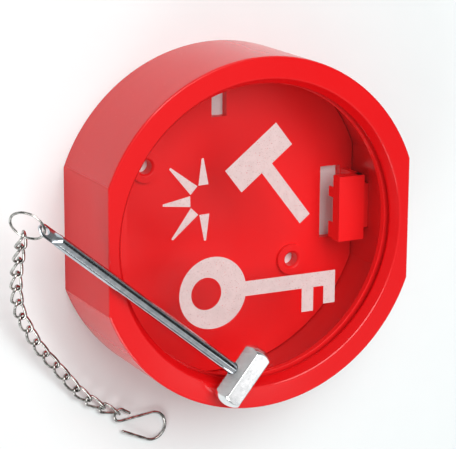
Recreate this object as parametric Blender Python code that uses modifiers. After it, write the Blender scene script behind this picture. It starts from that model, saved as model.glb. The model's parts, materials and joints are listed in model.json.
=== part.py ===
"""Break-glass key box: a round red box with a glass front, and a small hammer on a chain.

The box lies on its back.  +Z points out of its glass front, the back face is on Z = 0, and the
origin is the centre of the back face.  The two flat sides face -X and +X.  The hammer lies across
the rim, and its ring and chain run down to the surface that the box lies on.
Blender 4.5, metres.  Run with: blender --background --python part.py
"""

from math import asin, cos, pi, radians, sin, sqrt

import bmesh
import bpy
import numpy as np
from mathutils import Matrix, Vector

MM = 0.001
GAP = 0.3 * MM  # between two pieces that touch
OVERCUT = 1.0 * MM  # how far a cutter runs past the wall that it cuts
SLIVER = 0.05 * MM  # corners nearer than this become one

# ------------------------------------------------------------------ box
BOX_DIAMETER = 121.0 * MM
BOX_DEPTH = 37.5 * MM
FLAT_DEPTH = 3.85 * MM  # cut off the round at each flat side
WALL = 3.0 * MM
EDGE_ROUND = 0.7 * MM
RIM_WIDTH = 7.5 * MM  # flat front of the rim, outer edge to mouth
MOUTH_TAPER = 2.0 * MM  # how far the mouth narrows on its way to the glass
GLASS_RECESS = 4.0 * MM  # front of the rim to the glass
LIP_EDGE = 0.6 * MM  # upright edge of the lip that the glass lies against
GLASS_LAP = 2.1 * MM  # how far the lip laps over the glass pocket
GLASS_THICKNESS = 2.0 * MM
FLANGE_DEPTH = 10.0 * MM  # front of the rim to the end of the glass pocket
RETAINER_THICKNESS = 2.4 * MM
RETAINER_WIDTH = 2.2 * MM

# ------------------------------------------------------------------ back plate
PLATE_THICKNESS = 3.3 * MM
HANG_SLOT_WIDTH = 5.7 * MM
HANG_SLOT_LENGTH = 11.0 * MM
HANG_SLOT_Y = 40.0 * MM
SCREW_HOLE_DIAMETER = 5.0 * MM
SCREW_HOLE_X = 28.5 * MM
SCREW_HOLE_Y = 19.5 * MM
BOSS_DIAMETER = 11.0 * MM
BOSS_HEIGHT = 1.6 * MM

# One latch bracket stands on the plate beside each flat: an upright wall with a ledge that
# reaches in over its own slot, a nose that snaps into the wall, and two lips that hold the key.
BRACKET_FROM_FLAT = 5.65 * MM  # outer face of the upright to the outside of the flat
LEDGE_WIDTH = 10.2 * MM
LEDGE_LENGTH = 23.4 * MM
LEDGE_TOP = 16.6 * MM
LEDGE_THICKNESS = 4.5 * MM
UPRIGHT_THICKNESS = 2.2 * MM
SIDE_SLOT_LENGTH = 26.0 * MM
SIDE_SLOT_MARGIN = 0.3 * MM  # how far the slot runs in past the ledge
NOSE_LENGTH = 16.0 * MM
NOSE_HEIGHT = 2.4 * MM
NOSE_TOP = 14.6 * MM
NOSE_BITE = 0.9 * MM  # how far the nose reaches into the groove of the flat
LIP_DROP = 3.6 * MM
LIP_THICKNESS = 1.2 * MM
LIP_SPANS = ((-11.7 * MM, -5.8 * MM), (3.4 * MM, 7.0 * MM))

# ------------------------------------------------------------------ hammer
HEAD_ACROSS_FLATS = 9.6 * MM
HEAD_LENGTH = 22.5 * MM
HEAD_DOME = 4.2 * MM
ROD_DIAMETER = 4.2 * MM
HAMMER_LENGTH = 91.7 * MM  # axis of the head to the tip of the eye
ROD_END = 1.2 * MM  # axis of the head to the end of the rod in its bore
BORE_CLEARANCE = 0.15 * MM
EYE_WIDTH = 5.2 * MM
EYE_THICKNESS = 1.0 * MM
EYE_TAPER = 3.5 * MM
EYE_LENGTH = 5.6 * MM
EYE_HOLE_DIAMETER = 3.2 * MM
EYE_ROLL = 41.0  # degrees that the flat of the eye is turned about the rod
EYE_FROM_FLAT = 22.4 * MM  # how far the eye overhangs the flat side
HEAD_FROM_EDGE = 14.17 * MM  # lowest edge of the round to the middle of the head
HAMMER_TURN = 140.4  # degrees from +X to the rod, seen from the front

# ------------------------------------------------------------------ ring, chain and hook
RING_DIAMETER = 11.7 * MM  # between the centres of the wire
RING_WIRE = 1.0 * MM
RING_NORMAL = (-0.61, -0.54, 0.58)
EYE_ON_RING = 137.0  # degrees from the ring's lowest point
CHAIN_ON_RING = 31.5  # degrees from the same point
CHAIN_LINKS = 15
LINK_PITCH = 6.6 * MM
LINK_WIRE = 1.05 * MM
LINK_WIDTH = 4.5 * MM
LINK_TWIST = 90.0  # degrees from one end of a link to the other
LINK_ROLL_AT_RING = -20.0  # degrees about the chain; it fades out along the first links
LINK_ROLL_AT_HOOK = 40.0
LINK_ROLL_SPAN = 4  # links over which each roll fades
HOOK_WIRE = 1.05 * MM
HOOK_SMALL_RADIUS = 2.2 * MM
HOOK_LARGE_RADIUS = 5.1 * MM
HOOK_SPACING = 14.4 * MM  # between the centres of its two bends
HOOK_TIP = 3.4 * MM
HOOK_TAIL = 10.8 * MM
HOOK_TURN = -25.6  # degrees from +X to the line between the bends
HOOK_CONTACT = 170.0  # degrees round the small bend to the last link

# The chain's way from the ring to the hook: how far across and along the table from the ring,
# and what share of the ring's height is left.
CHAIN_ROUTE = (
    (0.0 * MM, 0.0 * MM, 1.00),
    (0.9 * MM, -7.8 * MM, 0.80),
    (2.3 * MM, -19.6 * MM, 0.55),
    (5.4 * MM, -31.2 * MM, 0.355),
    (10.0 * MM, -39.4 * MM, 0.25),
    (14.4 * MM, -46.6 * MM, 0.17),
    (22.7 * MM, -56.4 * MM, 0.09),
    (31.4 * MM, -67.0 * MM, 0.035),
    (42.0 * MM, -74.6 * MM, 0.0),
    (50.0 * MM, -77.6 * MM, 0.0),
)
CHAIN_REST_HEIGHT = 1.8 * MM  # axis of a link that lies on the table

ROUND_STEPS = 96  # facets round the box
WIRE_SIDES = 2  # bevel_resolution: eight sides round a wire


# ------------------------------------------------------------------ scene helpers
def clear_scene():
    for obj in list(bpy.data.objects):
        bpy.data.objects.remove(obj, do_unlink=True)


def new_collection(name):
    made = bpy.data.collections.new(name)
    bpy.context.scene.collection.children.link(made)
    return made


def material(name, colour, roughness, metallic=0.0, alpha=1.0):
    made = bpy.data.materials.new(name)
    made.use_nodes = True
    shader = made.node_tree.nodes["Principled BSDF"]
    shader.inputs["Base Color"].default_value = (*colour, 1.0)
    shader.inputs["Roughness"].default_value = roughness
    shader.inputs["Metallic"].default_value = metallic
    shader.inputs["Alpha"].default_value = alpha
    return made


def add_mesh_object(name, bm, home, place=None):
    """Turns a bmesh into a named object in a collection, placed by a matrix."""
    bmesh.ops.recalc_face_normals(bm, faces=bm.faces)
    mesh = bpy.data.meshes.new(name)
    bm.to_mesh(mesh)
    bm.free()
    obj = bpy.data.objects.new(name, mesh)
    home.objects.link(obj)
    if place is not None:
        obj.matrix_world = place
    return obj


def finish_piece(obj, finish):
    obj.data.materials.append(finish)
    if obj.type == "MESH":
        obj.data.shade_smooth()
        obj.data.set_sharp_from_angle(angle=radians(35))
    return obj


def as_cutter(obj):
    obj.hide_render = True
    obj.display_type = "WIRE"
    return obj


def boolean(target, other, operation):
    modifier = target.modifiers.new(f"{operation.title()} {other.name}", "BOOLEAN")
    modifier.operation = operation
    modifier.solver = "EXACT"
    modifier.object = other


# ------------------------------------------------------------------ shapes
def flatted_disc(name, radius, half_flats, low, high, home, edge_round=0.0):
    """A disc from low to high with its sides cut flat at X = +-half_flats."""
    bm = bmesh.new()
    middle = Matrix.Translation((0, 0, (low + high) / 2))
    bmesh.ops.create_cone(
        bm,
        cap_ends=True,
        segments=ROUND_STEPS,
        radius1=radius,
        radius2=radius,
        depth=high - low,
        matrix=middle,
    )
    if half_flats < radius:
        for side in (-1, 1):
            cut = bmesh.ops.bisect_plane(
                bm,
                geom=bm.verts[:] + bm.edges[:] + bm.faces[:],
                plane_co=(side * half_flats, 0, 0),
                plane_no=(side, 0, 0),
                clear_outer=True,
            )["geom_cut"]
            edges = [item for item in cut if isinstance(item, bmesh.types.BMEdge)]
            bmesh.ops.holes_fill(bm, edges=edges)
        bmesh.ops.remove_doubles(bm, verts=bm.verts, dist=SLIVER)
    if edge_round:
        top = [e for e in bm.edges if all(abs(v.co.z - high) < OVERCUT / 100 for v in e.verts)]
        rim = [e for e in top if len(e.link_faces) == 2 and e.calc_face_angle(0.0) > radians(45)]
        bmesh.ops.bevel(
            bm, geom=rim, offset=edge_round, segments=3, profile=0.5, affect="EDGES", material=-1
        )
    return add_mesh_object(name, bm, home)


def turned(name, profile, home, steps=ROUND_STEPS, closed=False):
    """A body of revolution about Z.  The profile holds (radius, height) points, outer side down."""
    bm = bmesh.new()
    verts = [bm.verts.new((radius, 0, height)) for radius, height in profile]
    for first, second in zip(verts, verts[1:]):
        bm.edges.new((first, second))
    if closed:
        bm.edges.new((verts[-1], verts[0]))
    mesh = bpy.data.meshes.new(name)
    bm.to_mesh(mesh)
    bm.free()
    obj = bpy.data.objects.new(name, mesh)
    home.objects.link(obj)
    screw = obj.modifiers.new("Turn", "SCREW")
    screw.steps = steps
    screw.render_steps = steps
    screw.use_merge_vertices = True
    screw.merge_threshold = 0.00001
    return obj


def box(name, low, high, home, place=None):
    """A block between two corners."""
    low = Vector(low)
    high = Vector(high)
    bm = bmesh.new()
    bmesh.ops.create_cube(bm, size=1.0)
    bmesh.ops.scale(bm, vec=high - low, verts=bm.verts)
    bmesh.ops.translate(bm, vec=(low + high) / 2, verts=bm.verts)
    return add_mesh_object(name, bm, home, place)


def cylinder(name, radius, low, high, home, place=None, segments=32):
    """A cylinder along Z between two heights."""
    bm = bmesh.new()
    bmesh.ops.create_cone(
        bm,
        cap_ends=True,
        segments=segments,
        radius1=radius,
        radius2=radius,
        depth=high - low,
        matrix=Matrix.Translation((0, 0, (low + high) / 2)),
    )
    return add_mesh_object(name, bm, home, place)


def wire(name, points, diameter, home, place, cyclic=False):
    """A round wire along a list of points: a POLY curve with a bevel."""
    curve = bpy.data.curves.new(name, "CURVE")
    curve.dimensions = "3D"
    curve.bevel_depth = diameter / 2
    curve.bevel_resolution = WIRE_SIDES
    curve.use_fill_caps = not cyclic
    spline = curve.splines.new("POLY")
    spline.points.add(len(points) - 1)
    for target, point in zip(spline.points, points):
        target.co = (*point, 1.0)
    spline.use_cyclic_u = cyclic
    obj = bpy.data.objects.new(name, curve)
    home.objects.link(obj)
    obj.matrix_world = place
    return obj


def arc(centre, radius, start, end, steps):
    """Points round an arc in the XY plane, from one angle to another in radians."""
    angles = np.linspace(start, end, steps + 1)
    return [(centre[0] + radius * cos(a), centre[1] + radius * sin(a), 0.0) for a in angles]


def frame_from(origin, x_axis, z_hint):
    """A matrix at origin whose X runs along x_axis and whose Z is as near z_hint as it can be."""
    x_axis = Vector(x_axis).normalized()
    y_axis = Vector(z_hint).cross(x_axis).normalized()
    z_axis = x_axis.cross(y_axis)
    turn = Matrix((x_axis, y_axis, z_axis)).transposed().to_4x4()
    return Matrix.Translation(origin) @ turn


# ------------------------------------------------------------------ box sizes that follow
BOX_RADIUS = BOX_DIAMETER / 2
HALF_FLATS = BOX_RADIUS - FLAT_DEPTH
MOUTH_RADIUS = BOX_RADIUS - RIM_WIDTH
VIEW_RADIUS = MOUTH_RADIUS - MOUTH_TAPER
POCKET_RADIUS = VIEW_RADIUS + GLASS_LAP
LIP_LOW = BOX_DEPTH - GLASS_RECESS
GLASS_TOP = LIP_LOW - GAP
GLASS_LOW = GLASS_TOP - GLASS_THICKNESS
FLANGE_LOW = BOX_DEPTH - FLANGE_DEPTH
BRACKET_OUTER_X = HALF_FLATS - BRACKET_FROM_FLAT
BRACKET_INNER_X = BRACKET_OUTER_X - LEDGE_WIDTH
GROOVE_X = HALF_FLATS - WALL + NOSE_BITE


def build_shell(parts, cutters, plastic):
    """The red housing: side wall with two flats, rim, lip and the pocket for the glass."""
    shell = flatted_disc(
        "housing_shell", BOX_RADIUS, HALF_FLATS, 0.0, BOX_DEPTH, parts, edge_round=EDGE_ROUND
    )
    cavity = flatted_disc(
        "cut_cavity", BOX_RADIUS - WALL, HALF_FLATS - WALL, -OVERCUT, FLANGE_LOW, cutters
    )
    pocket = cylinder(
        "cut_pocket", POCKET_RADIUS, FLANGE_LOW - OVERCUT, LIP_LOW, cutters, segments=ROUND_STEPS
    )
    lip_top = LIP_LOW + LIP_EDGE
    slope = MOUTH_TAPER / (BOX_DEPTH - lip_top)
    mouth = turned(
        "cut_mouth",
        [
            (0.0, BOX_DEPTH + OVERCUT),
            (MOUTH_RADIUS + slope * OVERCUT, BOX_DEPTH + OVERCUT),
            (VIEW_RADIUS, lip_top),
            (VIEW_RADIUS, LIP_LOW - OVERCUT),
            (0.0, LIP_LOW - OVERCUT),
        ],
        cutters,
    )
    for cutter in (cavity, pocket, mouth):
        boolean(shell, as_cutter(cutter), "DIFFERENCE")
    for side in (-1, 1):
        inner, outer = sorted((side * (HALF_FLATS - WALL - OVERCUT), side * (GROOVE_X + GAP)))
        groove = box(
            f"cut_groove_{'left' if side < 0 else 'right'}",
            (inner, -NOSE_LENGTH / 2 - GAP, NOSE_TOP - NOSE_HEIGHT - GAP),
            (outer, NOSE_LENGTH / 2 + GAP, NOSE_TOP + GAP),
            cutters,
        )
        boolean(shell, as_cutter(groove), "DIFFERENCE")
    finish_piece(shell, plastic)


def bracket_blocks(side):
    """Corner pairs of the blocks that make one latch bracket, for the flat at this side."""
    def block(x_first, x_second, y_low, y_high, z_low, z_high):
        x_low, x_high = sorted((side * x_first, side * x_second))
        return (x_low, y_low, z_low), (x_high, y_high, z_high)

    half = LEDGE_LENGTH / 2
    root = PLATE_THICKNESS / 2
    under = LEDGE_TOP - LEDGE_THICKNESS
    inner = BRACKET_INNER_X
    upright = BRACKET_OUTER_X - UPRIGHT_THICKNESS
    blocks = {
        "upright": block(upright, BRACKET_OUTER_X, -half, half, root, LEDGE_TOP - EDGE_ROUND),
        "ledge": block(inner, BRACKET_OUTER_X, -half, half, under, LEDGE_TOP),
        "nose": block(
            BRACKET_OUTER_X - OVERCUT,
            GROOVE_X - GAP,
            -NOSE_LENGTH / 2,
            NOSE_LENGTH / 2,
            NOSE_TOP - NOSE_HEIGHT,
            NOSE_TOP,
        ),
    }
    for number, (low, high) in enumerate(LIP_SPANS, 1):
        # The bracket on the other flat is this one turned half a turn about Z.
        y_low, y_high = sorted((side * low, side * high))
        blocks[f"lip_{number}"] = block(
            inner + GAP, inner + LIP_THICKNESS, y_low, y_high, under - LIP_DROP, under + OVERCUT
        )
    return blocks


def build_back_plate(parts, cutters, plastic):
    """The plate that screws to the wall, with its bosses, slots and two latch brackets."""
    plate = flatted_disc(
        "back_plate",
        BOX_RADIUS - WALL - GAP,
        HALF_FLATS - WALL - GAP,
        0.0,
        PLATE_THICKNESS,
        parts,
    )
    for number, side in enumerate((-1, 1), 1):
        centre = Matrix.Translation((side * SCREW_HOLE_X, -side * SCREW_HOLE_Y, 0))
        boss = cylinder(
            f"add_boss_{number}",
            BOSS_DIAMETER / 2,
            PLATE_THICKNESS / 2,
            PLATE_THICKNESS + BOSS_HEIGHT,
            cutters,
            centre,
        )
        boolean(plate, as_cutter(boss), "UNION")
        for name, (low, high) in bracket_blocks(side).items():
            boolean(plate, as_cutter(box(f"add_{name}_{number}", low, high, cutters)), "UNION")
        hole = cylinder(
            f"cut_screw_hole_{number}",
            SCREW_HOLE_DIAMETER / 2,
            -OVERCUT,
            PLATE_THICKNESS + BOSS_HEIGHT + OVERCUT,
            cutters,
            centre,
        )
        boolean(plate, as_cutter(hole), "DIFFERENCE")
        first = side * (BRACKET_INNER_X - SIDE_SLOT_MARGIN)
        second = side * (BRACKET_OUTER_X - UPRIGHT_THICKNESS - SIDE_SLOT_MARGIN)
        slot = box(
            f"cut_side_slot_{number}",
            (min(first, second), -SIDE_SLOT_LENGTH / 2, -OVERCUT),
            (max(first, second), SIDE_SLOT_LENGTH / 2, PLATE_THICKNESS + OVERCUT),
            cutters,
        )
        boolean(plate, as_cutter(slot), "DIFFERENCE")
    hang_slot = box(
        "cut_hang_slot",
        (-HANG_SLOT_WIDTH / 2, HANG_SLOT_Y - HANG_SLOT_LENGTH / 2, -OVERCUT),
        (HANG_SLOT_WIDTH / 2, HANG_SLOT_Y + HANG_SLOT_LENGTH / 2, PLATE_THICKNESS + OVERCUT),
        cutters,
    )
    boolean(plate, as_cutter(hang_slot), "DIFFERENCE")
    finish_piece(plate, plastic)


def build_glass(parts, glass, plastic):
    """The pane, and the ring that holds it against the lip."""
    outer = POCKET_RADIUS - GAP
    pane = cylinder("glass_pane", outer, GLASS_LOW, GLASS_TOP, parts, segments=ROUND_STEPS)
    finish_piece(pane, glass)
    top = GLASS_LOW - GAP
    low = top - RETAINER_THICKNESS
    inner = POCKET_RADIUS - GAP - RETAINER_WIDTH
    chamfer = RETAINER_THICKNESS / 4
    retainer = turned(
        "glass_retainer",
        [
            (outer, top),
            (outer, low + chamfer),
            (outer - chamfer, low),
            (inner, low),
            (inner, top),
        ],
        parts,
        closed=True,
    )
    finish_piece(retainer, plastic)


# ------------------------------------------------------------------ hammer
def hammer_frame():
    """Origin on the head's axis, +X along the rod to the eye, +Y along the head, +Z up.

    The head lies flat on the rim and the rod leans on the rim's edge at the flat side.
    """
    along = Vector((cos(radians(HAMMER_TURN)), sin(radians(HAMMER_TURN)), 0))
    eye_x = -HALF_FLATS - EYE_FROM_FLAT
    overhang = EYE_FROM_FLAT / -along.x
    reach = HAMMER_LENGTH - EYE_WIDTH / 2 - overhang
    head_height = BOX_DEPTH + 1.5 * GAP + HEAD_ACROSS_FLATS / 2
    edge_height = BOX_DEPTH + GAP + ROD_DIAMETER / 2
    dip = asin((head_height - edge_height) / reach)
    head_x = eye_x - along.x * (HAMMER_LENGTH - EYE_WIDTH / 2) * cos(dip)
    head = Vector((head_x, HEAD_FROM_EDGE - BOX_RADIUS, head_height))
    return frame_from(head, along * cos(dip) - Vector((0, 0, sin(dip))), (0, 0, 1))


def eye_point():
    return hammer_frame() @ Vector((HAMMER_LENGTH - EYE_WIDTH / 2, 0, 0))


def build_hammer_head(parts, cutters, chrome, place):
    """A hexagonal bar along Y with domed ends, flat side down, bored for the rod."""
    bm = bmesh.new()
    bmesh.ops.create_cone(
        bm,
        cap_ends=True,
        segments=6,
        radius1=HEAD_ACROSS_FLATS / sqrt(3),
        radius2=HEAD_ACROSS_FLATS / sqrt(3),
        depth=HEAD_LENGTH + 2 * OVERCUT,
        matrix=Matrix.Rotation(pi / 6, 4, "Y") @ Matrix.Rotation(pi / 2, 4, "X"),
    )
    head = add_mesh_object("hammer_head", bm, parts, place)
    half = HEAD_LENGTH / 2
    radius = HEAD_ACROSS_FLATS / sqrt(3) + GAP
    dome = [
        (radius * cos(a), half - HEAD_DOME + HEAD_DOME * sin(a))
        for a in np.linspace(pi / 2, 0, 8)
    ]
    profile = [(max(r, 0.0), z) for r, z in dome] + [(max(r, 0.0), -z) for r, z in dome[::-1]]
    profile[0] = (0.0, half)
    profile[-1] = (0.0, -half)
    barrel = turned("keep_barrel", profile, cutters, steps=36)
    barrel.matrix_world = place @ Matrix.Rotation(pi / 2, 4, "X")
    boolean(head, as_cutter(barrel), "INTERSECT")
    bore = cylinder(
        "cut_head_bore",
        ROD_DIAMETER / 2 + BORE_CLEARANCE,
        ROD_END - GAP,
        HEAD_ACROSS_FLATS,
        cutters,
        place @ Matrix.Rotation(pi / 2, 4, "Y"),
        segments=20,
    )
    boolean(head, as_cutter(bore), "DIFFERENCE")
    finish_piece(head, chrome)


def rod_sections():
    """(x, half width, half thickness) of the rod from its end in the head to the tip of the eye."""
    radius = ROD_DIAMETER / 2
    round_end = HAMMER_LENGTH - EYE_LENGTH - EYE_TAPER
    sections = [(ROD_END, radius, radius), (round_end, radius, radius)]
    for share in (0.25, 0.5, 0.75, 1.0):
        ease = share * share * (3 - 2 * share)
        half_width = radius + ease * (EYE_WIDTH / 2 - radius)
        half_thick = radius + ease * (EYE_THICKNESS / 2 - radius)
        sections.append((round_end + share * EYE_TAPER, half_width, half_thick))
    tip_radius = EYE_WIDTH / 2
    for angle in np.linspace(0, radians(80), 6):
        x = HAMMER_LENGTH - tip_radius + tip_radius * sin(angle)
        sections.append((x, tip_radius * cos(angle), EYE_THICKNESS / 2))
    return sections


def build_hammer_handle(parts, cutters, chrome, place):
    """A round rod, drawn flat at its far end and pierced for the ring."""
    roll = Matrix.Rotation(radians(EYE_ROLL), 4, "X")
    bm = bmesh.new()
    ring = bmesh.ops.create_circle(bm, cap_ends=True, segments=20, radius=1.0)["verts"]
    sections = rod_sections()
    bmesh.ops.rotate(bm, verts=ring, cent=(0, 0, 0), matrix=Matrix.Rotation(pi / 2, 3, "Y"))
    bmesh.ops.scale(bm, vec=(1, sections[0][1], sections[0][2]), verts=ring)
    bmesh.ops.translate(bm, vec=(sections[0][0], 0, 0), verts=ring)
    face = bm.faces[:][0]
    for before, after in zip(sections, sections[1:]):
        made = bmesh.ops.extrude_face_region(bm, geom=[face])["geom"]
        if before is not sections[0]:
            bmesh.ops.delete(bm, geom=[face], context="FACES_ONLY")
        face = next(item for item in made if isinstance(item, bmesh.types.BMFace))
        scale = (1, after[1] / before[1], after[2] / before[2])
        bmesh.ops.scale(bm, vec=scale, verts=face.verts)
        bmesh.ops.translate(bm, vec=(after[0] - before[0], 0, 0), verts=face.verts)
    handle = add_mesh_object("hammer_handle", bm, parts, place @ roll)
    hole = cylinder(
        "cut_eye_hole",
        EYE_HOLE_DIAMETER / 2,
        -ROD_DIAMETER,
        ROD_DIAMETER,
        cutters,
        place @ roll @ Matrix.Translation((HAMMER_LENGTH - EYE_WIDTH / 2, 0, 0)),
        segments=20,
    )
    boolean(handle, as_cutter(hole), "DIFFERENCE")
    finish_piece(handle, chrome)


# ------------------------------------------------------------------ ring
def ring_frame():
    """Origin at the ring's centre, +X to its lowest point, +Z along its normal."""
    normal = Vector(RING_NORMAL).normalized()
    down = (normal * normal.z - Vector((0, 0, 1))).normalized()
    frame = frame_from((0, 0, 0), down, normal)
    to_eye = frame @ Matrix.Rotation(radians(EYE_ON_RING), 4, "Z") @ Vector((1, 0, 0))
    return Matrix.Translation(eye_point() - to_eye * RING_DIAMETER / 2) @ frame


def ring_point(angle):
    turn = Matrix.Rotation(radians(angle), 4, "Z")
    return ring_frame() @ turn @ Vector((RING_DIAMETER / 2, 0, 0))


def build_ring(parts, nickel):
    """The ring's object has its origin at the eye, where it hangs."""
    bm = bmesh.new()
    steps = 48
    sides = 8
    centre = Matrix.Translation(Vector((RING_DIAMETER / 2, 0, 0)))
    side_on = Matrix.Rotation(pi / 2, 4, "X")
    loop = bmesh.ops.create_circle(
        bm, segments=sides, radius=RING_WIRE / 2, matrix=centre @ side_on
    )["verts"]
    edges = list({edge for vert in loop for edge in vert.link_edges})
    bmesh.ops.spin(
        bm,
        geom=edges,
        cent=(0, 0, 0),
        axis=(0, 0, 1),
        angle=2 * pi,
        steps=steps,
        use_merge=True,
    )
    hang = Matrix.Translation(eye_point())
    bmesh.ops.transform(bm, matrix=hang.inverted() @ ring_frame(), verts=bm.verts)
    finish_piece(add_mesh_object("split_ring", bm, parts, hang), nickel)


# ------------------------------------------------------------------ chain
def smooth_curve(points, steps):
    """A Catmull-Rom curve through the points, as a dense list of points."""
    ends = [2 * points[0] - points[1], *points, 2 * points[-1] - points[-2]]
    dense = []
    for a, b, c, d in zip(ends, ends[1:], ends[2:], ends[3:]):
        for t in np.linspace(0, 1, steps, endpoint=False):
            dense.append(
                0.5 * (2 * b + (c - a) * t + (2 * a - 5 * b + 4 * c - d) * t**2)
                + 0.5 * (3 * b - a - 3 * c + d) * t**3
            )
    return [*dense, points[-1]]


def walk(curve, pitch, count):
    """Points along a dense curve, each the same straight distance from the one before."""
    found = [curve[0]]
    for before, after in zip(curve, curve[1:]):
        if len(found) > count:
            break
        if (after - found[-1]).length < pitch:
            continue
        low, high = 0.0, 1.0
        for _ in range(30):
            middle = (low + high) / 2
            if (before.lerp(after, middle) - found[-1]).length < pitch:
                low = middle
            else:
                high = middle
        found.append(before.lerp(after, high))
    return found


def chain_crossings():
    """Where each link meets the next: from the ring, link by link, to the hook."""
    top = ring_point(CHAIN_ON_RING)
    low = CHAIN_REST_HEIGHT
    route = [
        Vector((top.x + x, top.y + y, low + share * (top.z - low))) for x, y, share in CHAIN_ROUTE
    ]
    first = (route[1] - route[0]).normalized()
    route = [point - first * (RING_WIRE + GAP) / 2 for point in route]
    return walk(smooth_curve(route, 60), LINK_PITCH, CHAIN_LINKS)


def link_roll(number):
    """Degrees that a link is turned about the chain; links number from 0 at the ring."""
    from_ring = max(0.0, 1 - number / LINK_ROLL_SPAN)
    from_hook = max(0.0, 1 - (CHAIN_LINKS - 1 - number) / LINK_ROLL_SPAN)
    return LINK_ROLL_AT_RING * from_ring + LINK_ROLL_AT_HOOK * from_hook


def link_frames():
    """One frame per link: origin where it meets the link before, +X along the chain."""
    crossings = chain_crossings()
    frames = []
    for number, (start, end) in enumerate(zip(crossings, crossings[1:])):
        roll = Matrix.Rotation(radians(link_roll(number)), 4, "X")
        frames.append(frame_from(start, end - start, (0, 0, 1)) @ roll)
    return frames


def link_centreline():
    """A twisted oval along X.  Its two ends stand across each other, so the links lie flat."""
    half_length = (LINK_PITCH + LINK_WIRE + GAP) / 2
    half_width = (LINK_WIDTH - LINK_WIRE) / 2
    straight = half_length - half_width
    oval = arc((straight, 0), half_width, -pi / 2, pi / 2, 8)
    oval += [(0.0, half_width, 0.0)]
    oval += arc((-straight, 0), half_width, pi / 2, 3 * pi / 2, 8)
    oval += [(0.0, -half_width, 0.0)]
    points = []
    for x, y, _ in oval:
        angle = radians(LINK_TWIST) * x / (2 * half_length)
        points.append((x + LINK_PITCH / 2, y * cos(angle), y * sin(angle)))
    return points


def build_chain(parts, nickel):
    points = link_centreline()
    for number, frame in enumerate(link_frames(), 1):
        link = wire(f"chain_link_{number:02d}", points, LINK_WIRE, parts, frame, cyclic=True)
        finish_piece(link, nickel)


# ------------------------------------------------------------------ hook
def hook_centreline():
    """The S of the hook in its own plane, from its tip to its tail; small bend at the origin."""
    lean = asin((HOOK_SMALL_RADIUS + HOOK_LARGE_RADIUS) / HOOK_SPACING)
    small = arc((0, 0), HOOK_SMALL_RADIUS, pi / 2, 3 * pi / 2 + lean, 14)
    large = arc((HOOK_SPACING, 0), HOOK_LARGE_RADIUS, pi / 2 + lean, -pi / 2, 18)
    tip = (HOOK_TIP, HOOK_SMALL_RADIUS - HOOK_TIP / 8, 0.0)
    tail = (HOOK_SPACING - HOOK_TAIL, -HOOK_LARGE_RADIUS, 0.0)
    return [tip, *small, *large, tail]


def hook_frame():
    """Origin where the last link holds the hook; the hook's plane dips to the table."""
    crossings = chain_crossings()
    along = (crossings[-1] - crossings[-2]).normalized()
    held = crossings[-1] - along * (LINK_WIRE + GAP) / 2
    turn = radians(HOOK_TURN)
    across = Vector((cos(turn), sin(turn), 0))
    angle = radians(HOOK_CONTACT)
    contact = Vector((cos(angle), sin(angle), 0)) * HOOK_SMALL_RADIUS
    dip = asin((held.z - HOOK_WIRE / 2) / (HOOK_SPACING + HOOK_LARGE_RADIUS - contact.x))
    plane = frame_from((0, 0, 0), across * cos(dip) - Vector((0, 0, sin(dip))), (0, 0, 1))
    return Matrix.Translation(held) @ plane @ Matrix.Translation(-contact), crossings[-1]


def build_hook(parts, nickel):
    frame, hinge = hook_frame()
    to_hinge = Matrix.Translation(hinge)
    local = to_hinge.inverted() @ frame
    points = [tuple(local @ Vector(point)) for point in hook_centreline()]
    finish_piece(wire("s_hook", points, HOOK_WIRE, parts, to_hinge), nickel)


def main():
    clear_scene()
    parts = new_collection("break_glass_key_box")
    cutters = new_collection("cutters")
    red = material("red_plastic", (0.83, 0.02, 0.02), 0.28)
    glass = material("clear_glass", (0.95, 0.97, 0.97), 0.03, alpha=0.2)
    chrome = material("chrome_steel", (0.85, 0.86, 0.88), 0.10, metallic=1.0)
    nickel = material("nickel_wire", (0.66, 0.65, 0.63), 0.22, metallic=1.0)
    build_shell(parts, cutters, red)
    build_back_plate(parts, cutters, red)
    build_glass(parts, glass, red)
    place = hammer_frame()
    build_hammer_head(parts, cutters, chrome, place)
    build_hammer_handle(parts, cutters, chrome, place)
    build_ring(parts, nickel)
    build_chain(parts, nickel)
    build_hook(parts, nickel)
    cutters.hide_render = True


main()
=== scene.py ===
# %% [markdown]
# # A break-glass key box
# A round red box with a glass front keeps one key for an emergency.  A small hammer hangs on a
# fine chain beside it.  This lesson dresses the box's plain solids: each visible piece is
# modelled again with clean curves and rounded edges, and gets a finish made of shader nodes.
# Everything is in metres, +Z points out through the glass, and the box lies on its back.

import json
from math import asin, cos, pi, radians, sin, sqrt

import bmesh
import bpy
from mathutils import Matrix, Vector

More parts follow.
